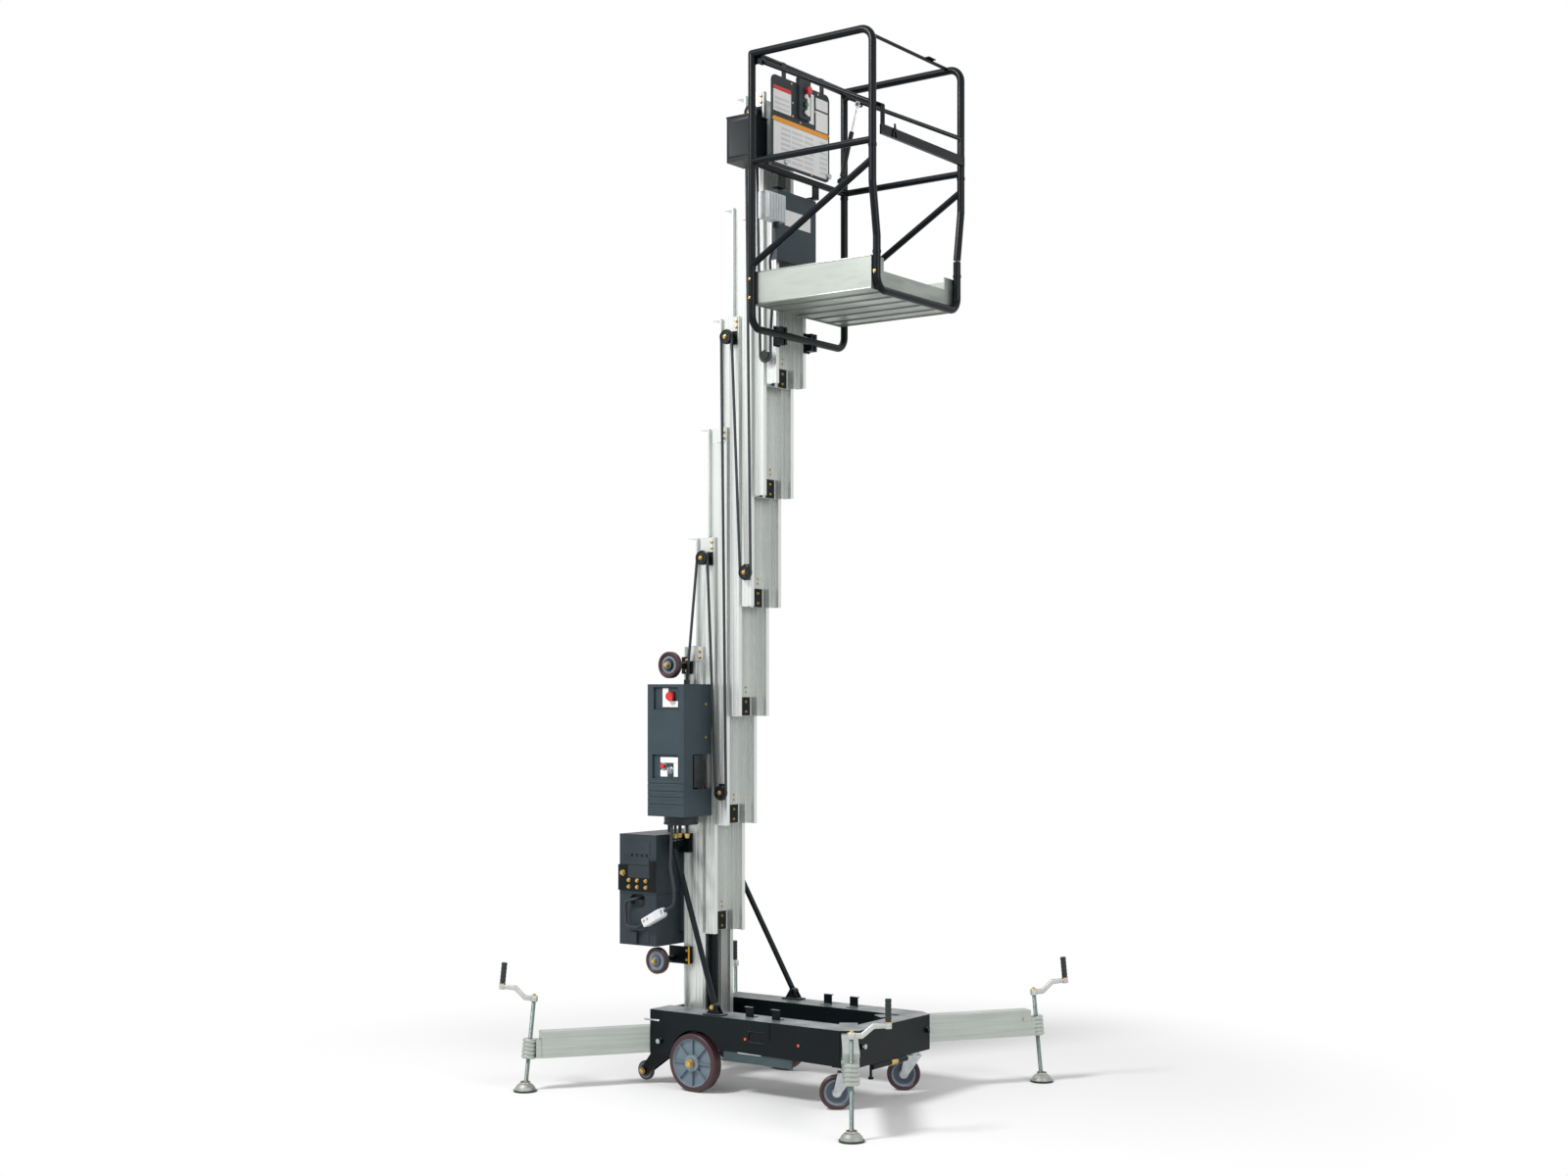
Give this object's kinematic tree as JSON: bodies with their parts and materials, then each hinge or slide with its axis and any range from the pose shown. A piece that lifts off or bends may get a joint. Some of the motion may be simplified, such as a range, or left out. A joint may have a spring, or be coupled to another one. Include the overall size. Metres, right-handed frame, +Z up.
{
  "type": "push-around mast lift",
  "caption": "Push-around telescopic mast lift: wheeled steel base with screw outriggers, stepped aluminium mast, side power unit and a railed one-person platform.",
  "frame": {"origin": "on the floor below the middle of the footprint and of the outline box", "axes": "+X forward from the mast to the casters and the platform entry, +Z up, -Y the near side with the power unit"},
  "size_m": [2.0136, 1.7168, 4.679],
  "materials": {
    "black_paint": "satin black paint with a cold tint",
    "mast_aluminium": "bright anodised extrusion",
    "bare_aluminium": "mill finish",
    "slate_cover": "fine textured slate grey",
    "battery_cover": "satin slate grey",
    "power_unit": "dark cast body",
    "cable_rubber": "matt black jacket",
    "bright_steel": "ground and hard chromed rod",
    "zinc_steel": "bright zinc",
    "cylinder_paint": "satin black",
    "console_metal": "pale grey paint",
    "black_plastic": "matt black",
    "tyre_rubber": "dark maroon brown rubber on a blue grey hub",
    "cast_aluminium": "cast",
    "foot_metal": "dark galvanised foot with a rubber ring",
    "red_plastic": "gloss red",
    "white_plastic": "gloss white",
    "green_plastic": "gloss green"
  },
  "bodies": {
    "base": {"chassis_frame": "black_paint", "mast_section_1": "mast_aluminium", "mast_braces": "black_paint", "lift_cylinder": "cylinder_paint", "power_unit_cover": "slate_cover", "hydraulic_power_unit": "power_unit", "battery_box": "battery_cover", "battery_lead": "cable_rubber", "control_cable": "cable_rubber"},
    "section_2": {"mast_section_2": "mast_aluminium", "lift_rod": "bright_steel"},
    "section_3": {"mast_section_3": "mast_aluminium"},
    "section_4": {"mast_section_4": "mast_aluminium"},
    "section_5": {"mast_section_5": "mast_aluminium"},
    "section_6": {"mast_section_6": "mast_aluminium"},
    "carriage": {"mast_section_7": "mast_aluminium", "platform_tray": "bare_aluminium", "guardrail": "black_paint", "platform_console": "console_metal", "platform_electrics": "black_plastic", "mast_cover": "slate_cover"},
    "rear_wheel_right": {"rear_wheel_right": "tyre_rubber"},
    "rear_wheel_left": {"rear_wheel_left": "tyre_rubber"},
    "tilt_wheel_right": {"tilt_wheel_right": "tyre_rubber"},
    "tilt_wheel_left": {"tilt_wheel_left": "tyre_rubber"},
    "upper_transport_wheel_right": {"upper_transport_wheel_right": "tyre_rubber"},
    "upper_transport_wheel_left": {"upper_transport_wheel_left": "tyre_rubber"},
    "lower_transport_wheel_right": {"lower_transport_wheel_right": "tyre_rubber"},
    "lower_transport_wheel_left": {"lower_transport_wheel_left": "tyre_rubber"},
    "caster_fork_right": {"caster_fork_right": "zinc_steel"},
    "caster_fork_left": {"caster_fork_left": "zinc_steel"},
    "caster_wheel_right": {"caster_wheel_right": "tyre_rubber"},
    "caster_wheel_left": {"caster_wheel_left": "tyre_rubber"},
    "outrigger_beam_front_right": {"outrigger_beam_front_right": "cast_aluminium"},
    "outrigger_beam_front_left": {"outrigger_beam_front_left": "cast_aluminium"},
    "outrigger_beam_rear_right": {"outrigger_beam_rear_right": "cast_aluminium"},
    "outrigger_beam_rear_left": {"outrigger_beam_rear_left": "cast_aluminium"},
    "jack_foot_front_right": {"jack_foot_front_right": "foot_metal"},
    "jack_foot_front_left": {"jack_foot_front_left": "foot_metal"},
    "jack_foot_rear_right": {"jack_foot_rear_right": "foot_metal"},
    "jack_foot_rear_left": {"jack_foot_rear_left": "foot_metal"},
    "jack_crank_front_right": {"jack_crank_front_right": "zinc_steel"},
    "jack_crank_front_left": {"jack_crank_front_left": "zinc_steel"},
    "jack_crank_rear_right": {"jack_crank_rear_right": "zinc_steel"},
    "jack_crank_rear_left": {"jack_crank_rear_left": "zinc_steel"},
    "lock_pin_front_right": {"lock_pin_front_right": "zinc_steel"},
    "lock_pin_front_left": {"lock_pin_front_left": "zinc_steel"},
    "lock_pin_rear_right": {"lock_pin_rear_right": "zinc_steel"},
    "lock_pin_rear_left": {"lock_pin_rear_left": "zinc_steel"},
    "entry_gate": {"entry_gate": "black_paint"},
    "gas_spring_body": {"gas_spring_body": "black_plastic"},
    "gas_spring_rod": {"gas_spring_rod": "bright_steel"},
    "platform_stop_button": {"platform_stop_button": "red_plastic"},
    "platform_up_button": {"platform_up_button": "white_plastic"},
    "platform_down_button": {"platform_down_button": "white_plastic"},
    "platform_enable_button": {"platform_enable_button": "green_plastic"},
    "ground_stop_button": {"ground_stop_button": "red_plastic"},
    "ground_key_switch": {"ground_key_switch": "zinc_steel"},
    "ground_lift_button": {"ground_lift_button": "red_plastic"},
    "brake_pedal": {"brake_pedal": "black_paint"}
  },
  "joints": [
    {"name": "mast_lift", "type": "slide", "parent": "base", "child": "section_2", "axis": [0, 0, 1], "range_m": [-0.493, 0.92], "deforming": ["control_cable"]},
    {"name": "section_3_slide", "type": "slide", "parent": "section_2", "child": "section_3", "axis": [0, 0, 1], "range_m": [-0.493, 0.92]},
    {"name": "section_4_slide", "type": "slide", "parent": "section_3", "child": "section_4", "axis": [0, 0, 1], "range_m": [-0.493, 0.92]},
    {"name": "section_5_slide", "type": "slide", "parent": "section_4", "child": "section_5", "axis": [0, 0, 1], "range_m": [-0.493, 0.92]},
    {"name": "section_6_slide", "type": "slide", "parent": "section_5", "child": "section_6", "axis": [0, 0, 1], "range_m": [-0.493, 0.92]},
    {"name": "carriage_slide", "type": "slide", "parent": "section_6", "child": "carriage", "axis": [0, 0, 1], "range_m": [-0.493, 0.92]},
    {"name": "rear_wheel_right_spin", "type": "hinge", "parent": "base", "child": "rear_wheel_right", "pos_m": [-0.27, -0.337, 0.132], "axis": [0, 1, 0], "continuous": true},
    {"name": "tilt_wheel_right_spin", "type": "hinge", "parent": "base", "child": "tilt_wheel_right", "pos_m": [-0.59, -0.3, 0.058], "axis": [0, 1, 0], "continuous": true},
    {"name": "upper_transport_wheel_right_spin", "type": "hinge", "parent": "base", "child": "upper_transport_wheel_right", "pos_m": [-0.501, -0.235, 1.946], "axis": [0, 1, 0], "continuous": true},
    {"name": "lower_transport_wheel_right_spin", "type": "hinge", "parent": "base", "child": "lower_transport_wheel_right", "pos_m": [-0.576, -0.235, 0.562], "axis": [0, 1, 0], "continuous": true},
    {"name": "caster_right_swivel", "type": "hinge", "parent": "base", "child": "caster_fork_right", "pos_m": [0.52, -0.27, 0.17], "axis": [0, 0, 1], "continuous": true},
    {"name": "caster_wheel_right_spin", "type": "hinge", "parent": "caster_fork_right", "child": "caster_wheel_right", "pos_m": [0.48359, -0.29645, 0.076], "axis": [-0.5878, 0.809, 0], "continuous": true},
    {"name": "rear_wheel_left_spin", "type": "hinge", "parent": "base", "child": "rear_wheel_left", "pos_m": [-0.27, 0.337, 0.132], "axis": [0, 1, 0], "continuous": true},
    {"name": "tilt_wheel_left_spin", "type": "hinge", "parent": "base", "child": "tilt_wheel_left", "pos_m": [-0.59, 0.3, 0.058], "axis": [0, 1, 0], "continuous": true},
    {"name": "upper_transport_wheel_left_spin", "type": "hinge", "parent": "base", "child": "upper_transport_wheel_left", "pos_m": [-0.501, 0.235, 1.946], "axis": [0, 1, 0], "continuous": true},
    {"name": "lower_transport_wheel_left_spin", "type": "hinge", "parent": "base", "child": "lower_transport_wheel_left", "pos_m": [-0.576, 0.235, 0.562], "axis": [0, 1, 0], "continuous": true},
    {"name": "caster_left_swivel", "type": "hinge", "parent": "base", "child": "caster_fork_left", "pos_m": [0.52, 0.27, 0.17], "axis": [0, 0, 1], "continuous": true},
    {"name": "caster_wheel_left_spin", "type": "hinge", "parent": "caster_fork_left", "child": "caster_wheel_left", "pos_m": [0.48359, 0.24355, 0.076], "axis": [-0.5878, 0.809, 0], "continuous": true},
    {"name": "outrigger_front_right_slide", "type": "slide", "parent": "base", "child": "outrigger_beam_front_right", "axis": [0.5736, -0.8192, 0], "range_m": [0, 0.2]},
    {"name": "jack_front_right_travel", "type": "slide", "parent": "outrigger_beam_front_right", "child": "jack_foot_front_right", "axis": [-0.056, 0.0799, 0.9952], "range_m": [-0.03, 0.1]},
    {"name": "jack_front_right_turn", "type": "hinge", "parent": "jack_foot_front_right", "child": "jack_crank_front_right", "pos_m": [0.897, -0.793, 0], "axis": [-0.056, 0.0799, 0.9952], "range_deg": [-1800, 6000]},
    {"name": "lock_pin_front_right_pull", "type": "slide", "parent": "base", "child": "lock_pin_front_right", "axis": [1, 0, 0], "range_m": [0, 0.012], "stiffness_N_per_m": 600},
    {"name": "outrigger_front_left_slide", "type": "slide", "parent": "base", "child": "outrigger_beam_front_left", "axis": [0.5736, 0.8192, 0], "range_m": [0, 0.2]},
    {"name": "jack_front_left_travel", "type": "slide", "parent": "outrigger_beam_front_left", "child": "jack_foot_front_left", "axis": [-0.056, -0.0799, 0.9952], "range_m": [-0.03, 0.1]},
    {"name": "jack_front_left_turn", "type": "hinge", "parent": "jack_foot_front_left", "child": "jack_crank_front_left", "pos_m": [0.897, 0.793, 0], "axis": [-0.056, -0.0799, 0.9952], "range_deg": [-1800, 6000]},
    {"name": "lock_pin_front_left_pull", "type": "slide", "parent": "base", "child": "lock_pin_front_left", "axis": [1, 0, 0], "range_m": [0, 0.012], "stiffness_N_per_m": 600},
    {"name": "outrigger_rear_right_slide", "type": "slide", "parent": "base", "child": "outrigger_beam_rear_right", "axis": [-0.5736, -0.8192, 0], "range_m": [0, 0.12]},
    {"name": "jack_rear_right_travel", "type": "slide", "parent": "outrigger_beam_rear_right", "child": "jack_foot_rear_right", "axis": [0.056, 0.0799, 0.9952], "range_m": [-0.03, 0.1]},
    {"name": "jack_rear_right_turn", "type": "hinge", "parent": "jack_foot_rear_right", "child": "jack_crank_rear_right", "pos_m": [-0.897, -0.793, 0], "axis": [0.056, 0.0799, 0.9952], "range_deg": [-1800, 6000]},
    {"name": "lock_pin_rear_right_pull", "type": "slide", "parent": "base", "child": "lock_pin_rear_right", "axis": [0, -1, 0], "range_m": [0, 0.012], "stiffness_N_per_m": 600},
    {"name": "outrigger_rear_left_slide", "type": "slide", "parent": "base", "child": "outrigger_beam_rear_left", "axis": [-0.5736, 0.8192, 0], "range_m": [0, 0.12]},
    {"name": "jack_rear_left_travel", "type": "slide", "parent": "outrigger_beam_rear_left", "child": "jack_foot_rear_left", "axis": [0.056, -0.0799, 0.9952], "range_m": [-0.03, 0.1]},
    {"name": "jack_rear_left_turn", "type": "hinge", "parent": "jack_foot_rear_left", "child": "jack_crank_rear_left", "pos_m": [-0.897, 0.793, 0], "axis": [0.056, -0.0799, 0.9952], "range_deg": [-1800, 6000]},
    {"name": "lock_pin_rear_left_pull", "type": "slide", "parent": "base", "child": "lock_pin_rear_left", "axis": [0, 1, 0], "range_m": [0, 0.012], "stiffness_N_per_m": 600},
    {"name": "gate_lift", "type": "hinge", "parent": "carriage", "child": "entry_gate", "pos_m": [0.1, 0, 4.629], "axis": [0, -1, 0], "range_deg": [0, 24]},
    {"name": "gas_spring_swing", "type": "hinge", "parent": "carriage", "child": "gas_spring_body", "pos_m": [0.095, 0.307, 4.23], "axis": [0, 1, 0], "range_deg": [-0.5, 1.5]},
    {"name": "gas_spring_stroke", "type": "slide", "parent": "gas_spring_body", "child": "gas_spring_rod", "axis": [0.2684, 0, 0.9633], "range_m": [-0.001, 0.046]},
    {"name": "platform_stop_press", "type": "slide", "parent": "carriage", "child": "platform_stop_button", "axis": [-1, 0, 0], "range_m": [0, 0.006]},
    {"name": "platform_up_press", "type": "slide", "parent": "carriage", "child": "platform_up_button", "axis": [-1, 0, 0], "range_m": [0, 0.004], "stiffness_N_per_m": 1500},
    {"name": "platform_enable_press", "type": "slide", "parent": "carriage", "child": "platform_enable_button", "axis": [-1, 0, 0], "range_m": [0, 0.004], "stiffness_N_per_m": 1500},
    {"name": "platform_down_press", "type": "slide", "parent": "carriage", "child": "platform_down_button", "axis": [-1, 0, 0], "range_m": [0, 0.004], "stiffness_N_per_m": 1500},
    {"name": "ground_stop_press", "type": "slide", "parent": "base", "child": "ground_stop_button", "axis": [0, 1, 0], "range_m": [0, 0.006]},
    {"name": "ground_lift_press", "type": "slide", "parent": "base", "child": "ground_lift_button", "axis": [0, 1, 0], "range_m": [0, 0.004], "stiffness_N_per_m": 1500},
    {"name": "ground_key_turn", "type": "hinge", "parent": "base", "child": "ground_key_switch", "pos_m": [-0.429, -0.319, 1.46], "axis": [0, -1, 0], "range_deg": [-45, 45]},
    {"name": "brake_press", "type": "hinge", "parent": "base", "child": "brake_pedal", "pos_m": [0.543, 0, 0.176], "axis": [0, 1, 0], "range_deg": [0, 25]}
  ],
  "couplings": [
    {"joint": "section_3_slide", "follows": "mast_lift", "ratio": 1},
    {"joint": "section_4_slide", "follows": "mast_lift", "ratio": 1},
    {"joint": "section_5_slide", "follows": "mast_lift", "ratio": 1},
    {"joint": "section_6_slide", "follows": "mast_lift", "ratio": 1},
    {"joint": "carriage_slide", "follows": "mast_lift", "ratio": 1},
    {"joint": "jack_front_right_travel", "follows": "jack_front_right_turn", "m_per_rad": 0.00095493},
    {"joint": "jack_front_left_travel", "follows": "jack_front_left_turn", "m_per_rad": 0.00095493},
    {"joint": "jack_rear_right_travel", "follows": "jack_rear_right_turn", "m_per_rad": 0.00095493},
    {"joint": "jack_rear_left_travel", "follows": "jack_rear_left_turn", "m_per_rad": 0.00095493},
    {"joint": "gas_spring_swing", "follows": "gate_lift", "ratio": 0.034},
    {"joint": "gas_spring_stroke", "follows": "gate_lift", "m_per_rad": 0.1057}
  ]
}
